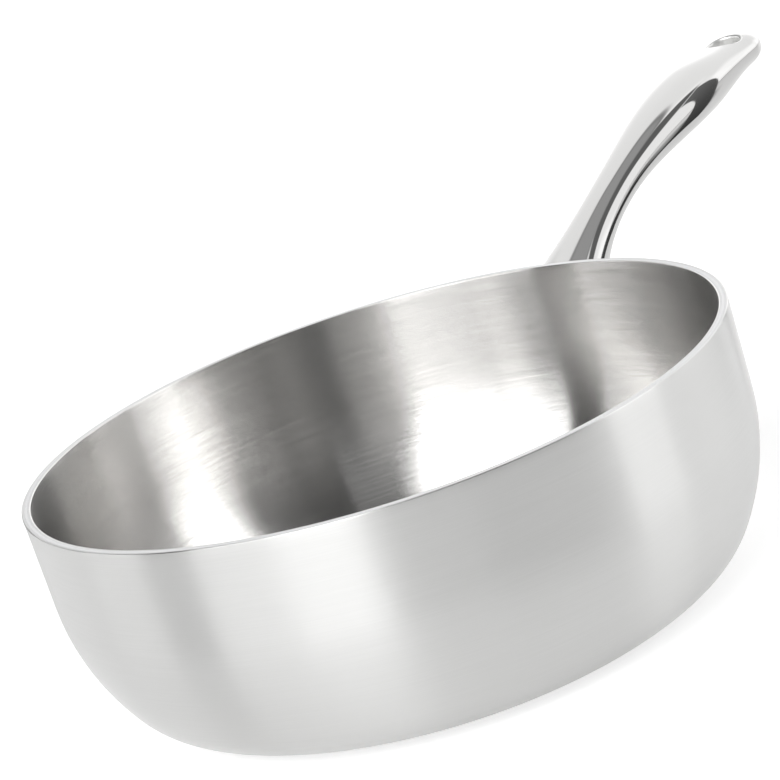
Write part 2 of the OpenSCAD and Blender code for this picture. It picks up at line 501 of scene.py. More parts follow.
@dataclass(frozen=True)
class BodyForm:
    """Sizes of the pan's body, in millimetres and degrees, and the sections that follow from them."""

    rim_d: float = 240.0
    pan_h: float = 85.0
    wall_lean: float = 0.65
    shoulder_r: float = 78.0
    shoulder_turn: float = 31.0
    heel_r: float = 27.3
    rim_round: float = 0.3
    plies: tuple[float, ...] = (0.5, 0.6, 1.0, 0.6, 0.5)
    arc_step: float = 1.0
    wall_rows: int = 10
    floor_rows: int = 16
    round_rows: int = 6

    @property
    def wall_t(self) -> float:
        """Thickness of all the layers together."""
        return sum(self.plies)

    @property
    def rim_r(self) -> float:
        """Outside radius at the rim."""
        return self.rim_d / 2 + self.wall_t / math.cos(math.radians(self.wall_lean))

    @property
    def heel_start(self) -> float:
        """Slope of the wall where the heel begins."""
        return self.wall_lean + self.shoulder_turn

    @property
    def straight_h(self) -> float:
        """Height of the straight upper wall."""
        lean = math.sin(math.radians(self.wall_lean))
        turned = math.sin(math.radians(self.heel_start))
        return self.pan_h - self.shoulder_r * (turned - lean) - self.heel_r * (1 - turned)

    @property
    def shoulder_centre(self) -> tuple[float, float]:
        """Centre of the shoulder's arc, as radius and height."""
        lean = math.radians(self.wall_lean)
        foot_r = self.rim_r - self.straight_h * math.tan(lean)
        return (foot_r - self.shoulder_r * math.cos(lean),
                self.pan_h - self.straight_h + self.shoulder_r * math.sin(lean))

    @property
    def heel_centre(self) -> tuple[float, float]:
        """Centre of the heel's arc, as radius and height."""
        turn = math.radians(self.heel_start)
        x, z = self.shoulder_centre
        reach = self.shoulder_r - self.heel_r
        return x + reach * math.cos(turn), z - reach * math.sin(turn)

    def arc(self, centre: tuple[float, float], radius: float, start: float, end: float) -> Points:
        """Points along an arc of the section.

        Args:
            centre: The arc's centre.
            radius: Its radius.
            start: The angle that it starts at.
            end: The angle that it ends at.

        Returns:
            Its points, both ends included.
        """
        steps = math.ceil(abs(end - start) / self.arc_step)
        angles = [math.radians(start + (end - start) * i / steps) for i in range(steps + 1)]
        return [(centre[0] + radius * math.cos(a), centre[1] + radius * math.sin(a)) for a in angles]

    def rim_point(self, sunk: float) -> tuple[float, float]:
        """Gives the rim's point of the skin at a depth below the outside."""
        return self.rim_r - sunk / math.cos(math.radians(self.wall_lean)), self.pan_h

    def skin(self, sunk: float, below_rim: float = 0.0) -> Points:
        """Half section of one skin of the body, from the axis to the rim.

        Args:
            sunk: Its depth below the outside.
            below_rim: How far under the rim it stops.

        Returns:
            Its points.
        """
        heel = self.arc(self.heel_centre, self.heel_r - sunk, -90.0, -self.heel_start)
        shoulder = self.arc(self.shoulder_centre, self.shoulder_r - sunk, -self.heel_start, -self.wall_lean)
        flat_r = heel[0][0]
        floor = [(flat_r * i / self.floor_rows, sunk) for i in range(self.floor_rows)]
        foot, top = shoulder[-1], self.rim_point(sunk)
        end = (top[0] - below_rim * math.tan(math.radians(self.wall_lean)), self.pan_h - below_rim)
        shares = [i / self.wall_rows for i in range(1, self.wall_rows + 1)]
        wall = [(foot[0] + (end[0] - foot[0]) * t, foot[1] + (end[1] - foot[1]) * t) for t in shares]
        return floor + heel + shoulder[1:] + wall

    def shell(self, shown: float, hidden: float) -> Points:
        """Section of a sheet that shows on one side, with its shown corner rounded at the rim.

        Args:
            shown: Depth of the side that shows.
            hidden: Depth of the side that is bonded.

        Returns:
            The points from the axis up the shown side, over the rim and back to the axis.
        """
        side = 1.0 if shown > hidden else -1.0
        up = self.skin(shown, self.rim_round)
        corner = (up[-1][0] + side * self.rim_round, self.pan_h - self.rim_round)
        start = 180.0 if side > 0 else 0.0
        turns = [math.radians(start - side * 90.0 * i / self.round_rows)
                 for i in range(1, self.round_rows + 1)]
        rounding = [(corner[0] + self.rim_round * math.cos(a), corner[1] + self.rim_round * math.sin(a))
                    for a in turns]
        return up + rounding + self.skin(hidden)[::-1]

    def outside_r(self, height: np.ndarray) -> np.ndarray:
        """Gives the outside radius of the body at heights above the heel."""
        x, z = self.shoulder_centre
        straight = self.rim_r - (self.pan_h - height) * math.tan(math.radians(self.wall_lean))
        rounded = x + np.sqrt(np.maximum(0.0, self.shoulder_r ** 2 - (height - z) ** 2))
        return np.where(height > self.pan_h - self.straight_h, straight, rounded)


def finished_group(tree: Tree, geometry: bpy.types.NodeSocket, given: bpy.types.Node,
                   result: bpy.types.Node) -> bpy.types.NodeTree:
    """Ends a Geometry Nodes tree with Realize Instances and Set Material.

    Args:
        tree: The tree.
        geometry: The socket of the finished geometry.
        given: The tree's input node.
        result: The tree's output node.

    Returns:
        The node group.
    """
    real = tree.add("GeometryNodeRealizeInstances", {"Geometry": geometry})
    coated = tree.add("GeometryNodeSetMaterial", {
        "Geometry": real.outputs[0], "Material": given.outputs["Material"]})
    tree.link(result, {"Geometry": coated.outputs[0]})
    return tree.tree


def applied(source: bpy.types.Object, group: bpy.types.NodeTree, name: str,
            values: dict[str, object]) -> bpy.types.Object:
    """Runs a Geometry Nodes group on an object and turns the result into a plain mesh piece.

    Args:
        source: The object, which is removed.
        group: The Geometry Nodes group.
        name: The new piece's name.
        values: The group's inputs, by name.

    Returns:
        The plain piece.
    """
    modifier = source.modifiers.new(name, "NODES")
    modifier.node_group = group
    for item in group.interface.items_tree:
        if item.item_type == "SOCKET" and item.in_out == "INPUT" and item.name in values:
            modifier[item.identifier] = values[item.name]
    return baked(source, name)


class TurnedSheet:
    """Geometry Nodes that turn a half section round the pan's axis into a closed sheet."""

    turns = 384

    def __init__(self) -> None:
        """Builds the tree once."""
        tree, given, result = new_group("turned sheet", "GeometryNodeTree", (
            ("Geometry", "INPUT", "NodeSocketGeometry"),
            ("Turns", "INPUT", "NodeSocketInt", self.turns),
            ("Section points", "INPUT", "NodeSocketInt", 2),
            ("Weld distance", "INPUT", "NodeSocketFloat", 0.000002),
            ("Material", "INPUT", "NodeSocketMaterial"),
            ("Geometry", "OUTPUT", "NodeSocketGeometry"),
        ))
        rows = tree.math("ADD", given.outputs["Turns"], 1.0)
        sheet = tree.add("GeometryNodeMeshGrid", {
            "Vertices X": rows, "Vertices Y": given.outputs["Section points"]})
        number = tree.add("GeometryNodeInputIndex").outputs[0]
        along = tree.math("MODULO", number, given.outputs["Section points"])
        turn = tree.math("FLOOR", tree.math("DIVIDE", number, given.outputs["Section points"]))
        angle = tree.math("DIVIDE", tree.math("MULTIPLY", turn, math.tau), given.outputs["Turns"])
        place = tree.add("GeometryNodeInputPosition").outputs[0]
        section = tree.add("GeometryNodeSampleIndex", {
            "Geometry": given.outputs["Geometry"], "Value": place, "Index": along},
            data_type="FLOAT_VECTOR")
        turned = tree.add("ShaderNodeVectorRotate", {
            "Vector": section.outputs[0], "Angle": angle}, rotation_type="Z_AXIS")
        shaped = tree.add("GeometryNodeSetPosition", {
            "Geometry": sheet.outputs["Mesh"], "Position": turned.outputs[0]})
        mapped = tree.add("GeometryNodeStoreNamedAttribute", {
            "Geometry": shaped.outputs[0], "Name": UV_NAME, "Value": sheet.outputs["UV Map"]},
            data_type="FLOAT2", domain="CORNER")
        joined = tree.add("GeometryNodeMergeByDistance", {
            "Geometry": mapped.outputs[0], "Distance": given.outputs["Weld distance"]})
        smooth = tree.add("GeometryNodeSetShadeSmooth", {
            "Geometry": joined.outputs[0], "Shade Smooth": True})
        self.group = finished_group(tree, smooth.outputs[0], given, result)

    def piece(self, name: str, section: Points, material: bpy.types.Material) -> bpy.types.Object:
        """Turns one section.

        Args:
            name: The piece's name.
            section: Radii and heights in millimetres, from the axis and back to it.
            material: The sheet's material.

        Returns:
            The closed sheet as a plain mesh.
        """
        places = np.array([(r * MM, 0.0, z * MM) for r, z in section])
        source = mesh_object(name + "_section", places, [])
        made = facing_out(applied(source, self.group, name, {
            "Turns": self.turns, "Section points": len(section), "Material": material}))
        made.data.set_sharp_from_angle(angle=SHARP_ANGLE)
        return made


@dataclass
class PanBody:
    """The round-shouldered body: an inner and an outer skin over three bonded layers."""

    form: BodyForm = field(default_factory=BodyForm)

    def build(self) -> None:
        """Builds and dresses the skins and the layers between them."""
        turned = TurnedSheet()
        depth, plies = self.form.wall_t, self.form.plies
        for name, finish, shown, hidden, node in (
                ("pan_inside", COOKING_STEEL, depth, depth - plies[0], "cooking_surface"),
                ("pan_outside", OUTER_STEEL, 0.0, plies[-1], "induction_ply")):
            steel = finish.material()
            sheet = turned.piece(name, self.form.shell(shown, hidden), steel)
            dressed(sheet, [steel], finish.slot, node)
        alloy = BONDING_ALLOY.material()
        for node, material in (("inner_alloy_ply", alloy), ("core_ply", PURE_ALUMINIUM.material()),
                               ("outer_alloy_ply", alloy)):
            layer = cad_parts[node]
            for slot in layer.material_slots:
                slot.material = material
            LOG.info("%s: kept, %s", node, material.name)


@dataclass(frozen=True)
class HandleForm:
    """Sizes of the cast handle, in millimetres and degrees, and the surface that follows from them."""

    body: BodyForm = field(default_factory=BodyForm)
    reach: float = 188.0
    root_drop: float = 19.5
    tip_rise: float = 27.5
    root_climb: float = 34.0
    tip_climb: float = 3.0
    root_pull: float = 0.26
    tip_pull: float = 0.53
    root_w: float = 38.0
    root_h: float = 27.0
    waist_at: float = 55.0
    waist_w: float = 17.0
    waist_h: float = 12.9
    grip_at: float = 130.0
    grip_w: float = 28.0
    grip_h: float = 20.3
    tip_w: float = 25.0
    tip_h: float = 14.0
    tip_round: float = 17.0
    hole_d: float = 14.0
    hole_from_tip: float = 19.0
    flare_power: float = 2.4
    section_power: float = 2.3
    end_size: float = 0.3
    table_from: float = -0.25
    table_rows: int = 6001
    leaves_from: float = -22.0
    leaves_to: float = 40.0
    halvings: int = 40

    @property
    def wall_r(self) -> float:
        """Outside radius of the body at the height of the root's centre."""
        return self.body.rim_r - self.root_drop * math.tan(math.radians(self.body.wall_lean))

    @property
    def even_run(self) -> float:
        """Distance from the wall to where the rounded end begins."""
        return self.reach - self.tip_round

    def controls(self) -> np.ndarray:
        """Gives the four control points of the centre line, as radius and height."""
        climb, level = math.radians(self.root_climb), math.radians(self.tip_climb)
        a = np.array([self.wall_r, self.body.pan_h - self.root_drop])
        d = np.array([self.wall_r + self.reach, self.body.pan_h + self.tip_rise])
        b = a + self.reach * self.root_pull * np.array([math.cos(climb), math.sin(climb)])
        c = d - self.reach * self.tip_pull * np.array([math.cos(level), math.sin(level)])
        return np.array([a, b, c, d])

    def centre(self, u: np.ndarray) -> np.ndarray:
        """Points of the centre line at curve positions."""
        a, b, c, d = self.controls()
        u = np.asarray(u, float)[..., None]
        return (1 - u) ** 3 * a + 3 * (1 - u) ** 2 * u * b + 3 * (1 - u) * u * u * c + u ** 3 * d

    def way(self, u: np.ndarray) -> np.ndarray:
        """Directions of the centre line at curve positions."""
        a, b, c, d = self.controls()
        u = np.asarray(u, float)[..., None]
        ahead = (1 - u) ** 2 * (b - a) + 2 * (1 - u) * u * (c - b) + u * u * (d - c)
        return ahead / np.linalg.norm(ahead, axis=-1, keepdims=True)

    def curve_at(self, distance: np.ndarray) -> np.ndarray:
        """Curve positions at distances from the wall."""
        table = np.linspace(self.table_from, 1.0, self.table_rows)
        return np.interp(distance, self.centre(table)[:, 0] - self.wall_r, table)

    def along(self, distance: np.ndarray, root: float, waist: float, grip: float, tip: float) -> np.ndarray:
        """A size that falls to the waist, swells to the grip and falls to the tip.

        Args:
            distance: Distances from the wall.
            root: The size at the wall.
            waist: The size at the waist.
            grip: The size at the grip.
            tip: The size where the rounded end begins.

        Returns:
            The size at each distance.
        """
        def ramp(t: np.ndarray) -> np.ndarray:
            """Gives a smooth rise from 0 to 1."""
            return (1 - np.cos(np.pi * np.clip(t, 0.0, 1.0))) / 2

        near = waist + (root - waist) * np.maximum(0.0, 1 - distance / self.waist_at) ** self.flare_power
        middle = waist + (grip - waist) * ramp((distance - self.waist_at) / (self.grip_at - self.waist_at))
        far = grip + (tip - grip) * ramp((distance - self.grip_at) / (self.even_run - self.grip_at))
        return np.where(distance < self.waist_at, near, np.where(distance < self.grip_at, middle, far))

    def sizes(self, distance: np.ndarray) -> tuple[np.ndarray, np.ndarray]:
        """Widths and heights at distances from the wall."""
        past = np.maximum(0.0, distance - self.even_run) / self.tip_round
        share = np.sqrt(np.clip(1 - past ** 2, 0.0, 1.0))
        width = self.along(distance, self.root_w, self.waist_w, self.grip_w, self.tip_w) * share
        height = self.along(distance, self.root_h, self.waist_h, self.grip_h, self.tip_h) * share
        return np.maximum(self.end_size, width), np.maximum(self.end_size, height)

    def placed(self, u: np.ndarray, across: np.ndarray, up: np.ndarray) -> np.ndarray:
        """Points beside the centre line.

        Args:
            u: Curve positions.
            across: Distances sideways.
            up: Distances square to the centre line, upwards.

        Returns:
            The points in the row frame, in millimetres.
        """
        centre, way = self.centre(u), self.way(u)
        x = centre[..., 0] - way[..., 1] * up
        z = centre[..., 1] + way[..., 0] * up
        return np.stack([x, across + 0 * up, z], -1)

    def surface(self, distance: np.ndarray, angle: np.ndarray) -> np.ndarray:
        """Points of the handle's surface.

        Args:
            distance: Distances from the wall.
            angle: Angles round the section, in radians, from its side over its top.

        Returns:
            The points in the row frame, in millimetres.
        """
        width, height = self.sizes(distance)
        power = 2 / self.section_power
        across = width / 2 * np.sign(np.cos(angle)) * np.abs(np.cos(angle)) ** power
        up = height / 2 * np.sign(np.sin(angle)) * np.abs(np.sin(angle)) ** power
        return self.placed(self.curve_at(distance), across, up)

    def leaving(self, angle: np.ndarray) -> np.ndarray:
        """Distances at which the surface's lengthwise lines leave the body's wall."""
        low, high = np.full(angle.shape, self.leaves_from), np.full(angle.shape, self.leaves_to)
        for _ in range(self.halvings):
            middle = (low + high) / 2
            p = self.surface(middle, angle)
            out = np.hypot(p[:, 0], p[:, 1]) > self.body.outside_r(p[:, 2])
            low, high = np.where(out, low, middle), np.where(out, middle, high)
        return (low + high) / 2


@dataclass
class CastHandle:
    """The cast handle, with its saddle cut to the wall and its hanging hole."""

    form: HandleForm = field(default_factory=HandleForm)
    sides: int = 96
    rows: int = 150
    end_rows: int = 26
    saddle_reach: float = 46.0
    sunk: float = 0.25
    window_side: int = 8
    window_ahead: float = 11.4
    hole_round: float = 1.3
    round_rows: int = 6
    spread_rows: int = 9
    spread_power: float = 0.8
    halvings: int = 34

    def distances(self) -> np.ndarray:
        """Distances of the rings from the wall, closer together at the rounded end."""
        even = self.form.even_run * np.arange(self.rows) / self.rows
        turn = np.pi / 2 * np.arange(self.end_rows + 1) / self.end_rows
        return np.concatenate([even, self.form.even_run + self.form.tip_round * np.sin(turn)])

    def grid(self) -> np.ndarray:
        """Points of the rings, each lengthwise line starting where it leaves the wall."""
        angle = math.tau * np.arange(self.sides) / self.sides
        rings = self.distances()
        leave = self.form.leaving(angle) - self.sunk
        ease = np.maximum(0.0, 1 - rings / self.saddle_reach) ** 2
        distance = rings[:, None] + ease[:, None] * leave[None, :]
        return self.form.surface(distance, np.broadcast_to(angle, distance.shape))

    def hole(self) -> tuple[np.ndarray, np.ndarray]:
        """Gives the hanging hole's centre and the centre line's direction there, as radius and height."""
        u = self.form.curve_at(self.form.reach - self.form.hole_from_tip)
        return self.form.centre(u), self.form.way(u)

    def on_face(self, ahead: np.ndarray, across: np.ndarray, side: float) -> np.ndarray:
        """Points of the top or bottom face over places in the hole's plane.

        Args:
            ahead: Distances from the hole's centre towards the tip.
            across: Distances from it sideways.
            side: 1 for the top face and -1 for the bottom face.

        Returns:
            The points in the row frame, in millimetres.
        """
        centre, way = self.hole()
        form = self.form
        low, high = np.zeros(ahead.shape), np.ones(ahead.shape)
        for _ in range(self.halvings):
            u = (low + high) / 2
            width, height = form.sizes(form.centre(u)[..., 0] - form.wall_r)
            room = np.clip(1 - (2 * np.abs(across) / width) ** form.section_power, 0.0, 1.0)
            p = form.placed(u, across, side * height / 2 * room ** (1 / form.section_power))
            short = (p[..., 0] - centre[0]) * way[0] + (p[..., 2] - centre[1]) * way[1] < ahead
            low, high = np.where(short, u, low), np.where(short, high, u)
        return p

    def build(self) -> bpy.types.Object:
        """Builds the closed handle: rings, caps and the rounded hole through two windows."""
        grid = self.grid()
        rings, sides = grid.shape[:2]
        points = [grid.reshape(-1, 3)]
        count = rings * sides
        distance = self.distances()
        centre_at = self.form.reach - self.form.hole_from_tip
        inside = np.nonzero(np.abs(distance - centre_at) < self.window_ahead)[0]
        first, last = int(inside[0]), int(inside[-1])
        quarter = sides // 4
        spans = {1.0: (self.window_side, 2 * quarter - self.window_side),
                 -1.0: (2 * quarter + self.window_side, 4 * quarter - self.window_side)}
        faces = []
        for r in range(rings - 1):
            for s in range(sides):
                if first <= r < last and any(a <= s < b for a, b in spans.values()):
                    continue
                t = (s + 1) % sides
                faces.append((r * sides + s, r * sides + t, (r + 1) * sides + t, (r + 1) * sides + s))
        centre, way = self.hole()
        rims = []
        # Faces of the hole's lips and bore, which take the satin material with its painted light.
        satin = []
        for side, (a, b) in spans.items():
            border = ([(first, s) for s in range(a, b)] + [(r, b) for r in range(first, last)]
                      + [(last, s) for s in range(b, a, -1)] + [(r, a) for r in range(last, first, -1)])
            numbers = np.array([r * sides + s for r, s in border])
            edge = points[0][numbers]
            ahead = (edge[:, 0] - centre[0]) * way[0] + (edge[:, 2] - centre[1]) * way[1]
            across = edge[:, 1]
            turn = np.arctan2(across, ahead)
            outer_r = self.form.hole_d / 2 + self.hole_round
            row = numbers
            for i in range(1, self.spread_rows + 1):
                t = (i / self.spread_rows) ** self.spread_power
                x = ahead + (outer_r * np.cos(turn) - ahead) * t
                y = across + (outer_r * np.sin(turn) - across) * t
                points.append(self.on_face(x, y, side))
                row, count = self.join(faces, row, count)
            lip_from = len(faces)
            for i in range(1, self.round_rows + 1):
                lean = math.pi / 2 * i / self.round_rows
                radius = self.form.hole_d / 2 + self.hole_round * (1 - math.sin(lean))
                depth = self.hole_round * (1 - math.cos(lean))
                face = self.on_face(radius * np.cos(turn), radius * np.sin(turn), side)
                face[:, 0] += side * depth * way[1]
                face[:, 2] -= side * depth * way[0]
                points.append(face)
                row, count = self.join(faces, row, count)
            rims.append((row, turn))
            satin += range(lip_from, len(faces))
        satin += range(len(faces), len(faces) + len(rims[0][0]))
        faces += self.barrel(rims)
        root, tip = grid[0].mean(0), grid[-1].mean(0)
        points.append(np.array([root, tip]))
        for s in range(sides):
            t = (s + 1) % sides
            faces.append((count, t, s))
            faces.append((count + 1, (rings - 1) * sides + s, (rings - 1) * sides + t))
        made = facing_out(mesh_object("cast_handle", np.concatenate(points) * MM, faces))
        # The hole's rounded lips and bore take the second material: satin, with a lighter colour that is
        # painted light.
        for number in satin:
            made.data.polygons[number].material_index = 1
        return made

    @staticmethod
    def join(faces: list, row: np.ndarray, count: int) -> tuple[np.ndarray, int]:
        """Adds the faces between a closed row and the next one.

        Args:
            faces: The list that they go into.
            row: Vertex numbers of the last row.
            count: The number of the next vertex.

        Returns:
            The next row's numbers and the next free number.
        """
        ahead = np.arange(count, count + len(row))
        for i in range(len(row)):
            k = (i + 1) % len(row)
            faces.append((row[i], row[k], ahead[k], ahead[i]))
        return ahead, count + len(row)

    @staticmethod
    def barrel(rims: list[tuple[np.ndarray, np.ndarray]]) -> list[tuple[int, int, int, int]]:
        """Joins the two rims of the hole with its straight wall.

        Args:
            rims: Each rim's vertex numbers and their angles.

        Returns:
            The wall's faces.
        """
        (top, top_turn), (low, low_turn) = rims
        order = [int(np.argmin(np.abs(np.angle(np.exp(1j * (low_turn - t)))))) for t in top_turn]
        made = []
        for i in range(len(top)):
            k = (i + 1) % len(top)
            made.append((top[i], top[k], low[order[k]], low[order[i]]))
        return made


class RippledBead:
    """Geometry Nodes that lay even ripples along a weld's bead."""

    along = "along_bead"
    crown = "crown_of_bead"

    def __init__(self) -> None:
        """Builds the tree once."""
        tree, given, result = new_group("rippled bead", "GeometryNodeTree", (
            ("Geometry", "INPUT", "NodeSocketGeometry"),
            ("Ripples", "INPUT", "NodeSocketInt", 100),
            ("Ripple height", "INPUT", "NodeSocketFloat", 0.00005),
            ("Material", "INPUT", "NodeSocketMaterial"),
            ("Geometry", "OUTPUT", "NodeSocketGeometry"),
        ))
        kind = "GeometryNodeInputNamedAttribute"
        along = tree.add(kind, {"Name": self.along}, data_type="FLOAT").outputs["Attribute"]
        crown = tree.add(kind, {"Name": self.crown}, data_type="FLOAT").outputs["Attribute"]
        phase = tree.math("MULTIPLY", tree.math("MULTIPLY", along, given.outputs["Ripples"]), math.tau)
        lift = tree.math("MULTIPLY", tree.math("SINE", phase), given.outputs["Ripple height"])
        lift = tree.math("MULTIPLY", lift, crown)
        normal = tree.add("GeometryNodeInputNormal").outputs[0]
        offset = tree.vector("SCALE", {0: normal, "Scale": lift})
        raised = tree.add("GeometryNodeSetPosition", {
            "Geometry": given.outputs["Geometry"], "Offset": offset})
        self.group = finished_group(tree, raised.outputs[0], given, result)


@dataclass
class SaddleWeld:
    """The fillet weld round the saddle: a smooth bead with even ripples."""

    handle: CastHandle = field(default_factory=CastHandle)
    leg: float = 2.5
    sides: int = 540
    section: tuple[tuple[float, float], ...] = (
        (-0.3, -0.3), (-0.12, 1.1), (0.12, 0.74), (0.3, 0.5), (0.5, 0.3), (0.74, 0.12), (1.1, -0.12))
    crown: tuple[float, ...] = (0.0, 0.0, 1.0, 1.0, 1.0, 1.0, 0.0)
    ripple_pitch: float = 1.1
    ripple_height: float = 0.07

    def saddle(self) -> tuple[np.ndarray, np.ndarray, np.ndarray]:
        """Gives the seam's points, the handle's run at each and the wall's own spread at each."""
        form = self.handle.form
        angle = math.tau * np.arange(self.sides) / self.sides
        leave = form.leaving(angle)
        at = form.surface(leave, angle)
        run = form.surface(leave + 0.5, angle) - at
        run /= np.linalg.norm(run, axis=1, keepdims=True)
        outward = at * (1.0, 1.0, 0.0)
        outward /= np.linalg.norm(outward, axis=1, keepdims=True)
        seam = np.roll(at, -1, 0) - np.roll(at, 1, 0)
        seam /= np.linalg.norm(seam, axis=1, keepdims=True)
        spread = np.cross(seam, outward)
        middle = at.mean(0)
        spread *= np.sign(np.einsum("ij,ij->i", spread, at - middle))[:, None]
        return at, run, spread

    def build(self, material: bpy.types.Material) -> bpy.types.Object:
        """Builds the bead and lays the ripples along it.

        Args:
            material: The weld's material.

        Returns:
            The closed bead as a plain mesh.
        """
        at, run, spread = self.saddle()
        rings = np.stack([at + self.leg * (s * spread + h * run) for s, h in self.section], 1)
        count = len(self.section)
        faces = []
        for i in range(self.sides):
            k = (i + 1) % self.sides
            for j in range(count):
                n = (j + 1) % count
                faces.append((i * count + j, k * count + j, k * count + n, i * count + n))
        source = facing_out(mesh_object("saddle_weld_bead", rings.reshape(-1, 3) * MM, faces))
        steps = np.linalg.norm(np.roll(at, -1, 0) - at, axis=1)
        travelled = np.concatenate([[0.0], np.cumsum(steps)[:-1]]) / steps.sum()
        for name, values in ((RippledBead.along, np.repeat(travelled, count)),
                             (RippledBead.crown, np.tile(self.crown, self.sides))):
            source.data.attributes.new(name, "FLOAT", "POINT").data.foreach_set("value", values)
        return applied(source, RippledBead().group, "saddle_weld", {
            "Ripples": round(steps.sum() / self.ripple_pitch),
            "Ripple height": self.ripple_height * MM, "Material": material})


@dataclass(frozen=True)
class StudioCamera:
    """A long lens that looks at the pan as the photograph does, rolled so that the pan seems tipped."""

    frame_px: float = 780.0
    focal_px: float = 2900.0
    sensor_mm: float = 36.0
    turn: float = -52.0
    elevation: float = 15.514
    roll: float = 17.891
    distance: float = 0.97243
    aim_px: tuple[float, float] = (371.231, 394.484)

    def build(self, aim: Vector) -> None:
        """Places the camera so that the aim lands on its pixel.

        Args:
            aim: The centre of the rim, in metres.
        """
        tilt, roll = math.radians(self.elevation), math.radians(self.roll)
        ahead = Vector((0.0, math.cos(tilt), -math.sin(tilt)))
        right = Vector((1.0, 0.0, 0.0))
        down = ahead.cross(right)
        image_x = right * math.cos(roll) + down * math.sin(roll)
        image_y = down * math.cos(roll) - right * math.sin(roll)
        middle = self.frame_px / 2
        offset_x = (self.aim_px[0] - middle) / self.focal_px * self.distance
        offset_y = (self.aim_px[1] - middle) / self.focal_px * self.distance
        place = -(image_x * offset_x + image_y * offset_y + ahead * self.distance)
        turned = Matrix.Rotation(math.radians(self.turn), 4, "Z")
        axes = Matrix((image_x, -image_y, -ahead)).transposed().to_4x4()
        camera = bpy.data.cameras.new("camera")
        camera.sensor_width = self.sensor_mm
        camera.lens = self.sensor_mm * self.focal_px / self.frame_px
        made = linked("camera", camera)
        made.matrix_world = Matrix.Translation(aim) @ turned @ Matrix.Translation(place) @ axes
        bpy.context.scene.camera = made


@dataclass(frozen=True)
class Softbox:
    """A soft lamp that faces the pan, placed and sized by angles as the pan sees it."""

    name: str
    azimuth: float
    elevation: float
    spread: float
    rise: float
    brightness: float
    distance: float = 2.8

    def build(self, target: Vector) -> None:
        """Makes the lamp.

        Args:
            target: The point that it faces.
        """
        lamp = bpy.data.lights.new(self.name, "AREA")
        lamp.shape = "RECTANGLE"
        around, up = math.radians(self.azimuth), math.radians(self.elevation)
        lamp.size = 2 * self.distance * math.tan(math.radians(self.spread / 2)) * math.cos(up)
        lamp.size_y = 2 * self.distance * math.tan(math.radians(self.rise / 2))
        lamp.energy = self.brightness * WATTS_PER_AREA * lamp.size * lamp.size_y
        made = linked(self.name, lamp)
        away = Vector((math.cos(around) * math.cos(up), math.sin(around) * math.cos(up), math.sin(up)))
        made.location = target + away * self.distance
        made.rotation_mode = "QUATERNION"
        made.rotation_quaternion = away.to_track_quat("Z", "Y")
        made.visible_camera = False


@dataclass(frozen=True)
class PaintedReflectionCard:
    """A card near the handle that only its polish shows, a painted reflection: dark, and glowing lighter
    towards the top.
    """

    near: tuple[float, float] = (0.346, -0.125)
    far: tuple[float, float] = (0.376, -0.092)
    low: float = 0.03
    high: float = 0.23
    glow: tuple[float, float] = (0.06, 0.22)

    def build(self) -> None:
        """Stands the card up, facing the handle, and hides it from all but mirrored rays."""
        corners = [(*self.near, self.low), (*self.far, self.low), (*self.far, self.high),
                   (*self.near, self.high)]
        card = mesh_object("painted_reflection_card", np.array(corners), [(0, 1, 2, 3)])
        made = bpy.data.materials.new("painted reflection card")
        tree = empty_tree(made)
        place = tree.add("ShaderNodeTexCoord").outputs["Object"]
        height = tree.add("ShaderNodeSeparateXYZ", {0: place}).outputs["Z"]
        # Painted reflection: the card glows faintly, more towards the top, and lights nothing.
        level = tree.remap(height, self.low, self.high, *self.glow)
        glow = tree.add("ShaderNodeEmission", {"Color": WHITE, "Strength": level})
        tree.add("ShaderNodeOutputMaterial", {"Surface": glow.outputs[0]})
        card.data.materials.append(made)
        card.visible_camera = False
        card.visible_diffuse = False
        card.visible_shadow = False


@dataclass(frozen=True)
class Sector:
    """A part of the studio between two directions and two heights, in degrees, with soft borders."""

    azimuth_from: float
    azimuth_to: float
    elevation_from: float
    elevation_to: float
    softness: float

    def mask(self, tree: Tree, azimuth: object, elevation: object | None = None) -> bpy.types.NodeSocket:
        """Adds the nodes of the sector's mask.

        Args:
            tree: The tree that they go into.
            azimuth: Direction round the pan, in degrees.
            elevation: Height above the horizon, in degrees, or None for all heights.

        Returns:
            The mask, 1 inside and 0 outside.
        """
        made = tree.math("MULTIPLY", tree.step(azimuth, self.azimuth_from, self.softness),
                         tree.step(azimuth, self.azimuth_to, self.softness, rising=False))
        if elevation is None:
            return made
        below = tree.step(elevation, self.elevation_to, self.softness, rising=False)
        made = tree.math("MULTIPLY", made, below)
        return tree.math("MULTIPLY", made, tree.step(elevation, self.elevation_from, self.softness))


def bearing(tree: Tree, axes: bpy.types.Node) -> bpy.types.NodeSocket:
    """Adds the nodes that turn separated X and Y into a direction round the pan, in degrees."""
    return tree.math("DEGREES", tree.math("ARCTAN2", axes.outputs["Y"], axes.outputs["X"]))


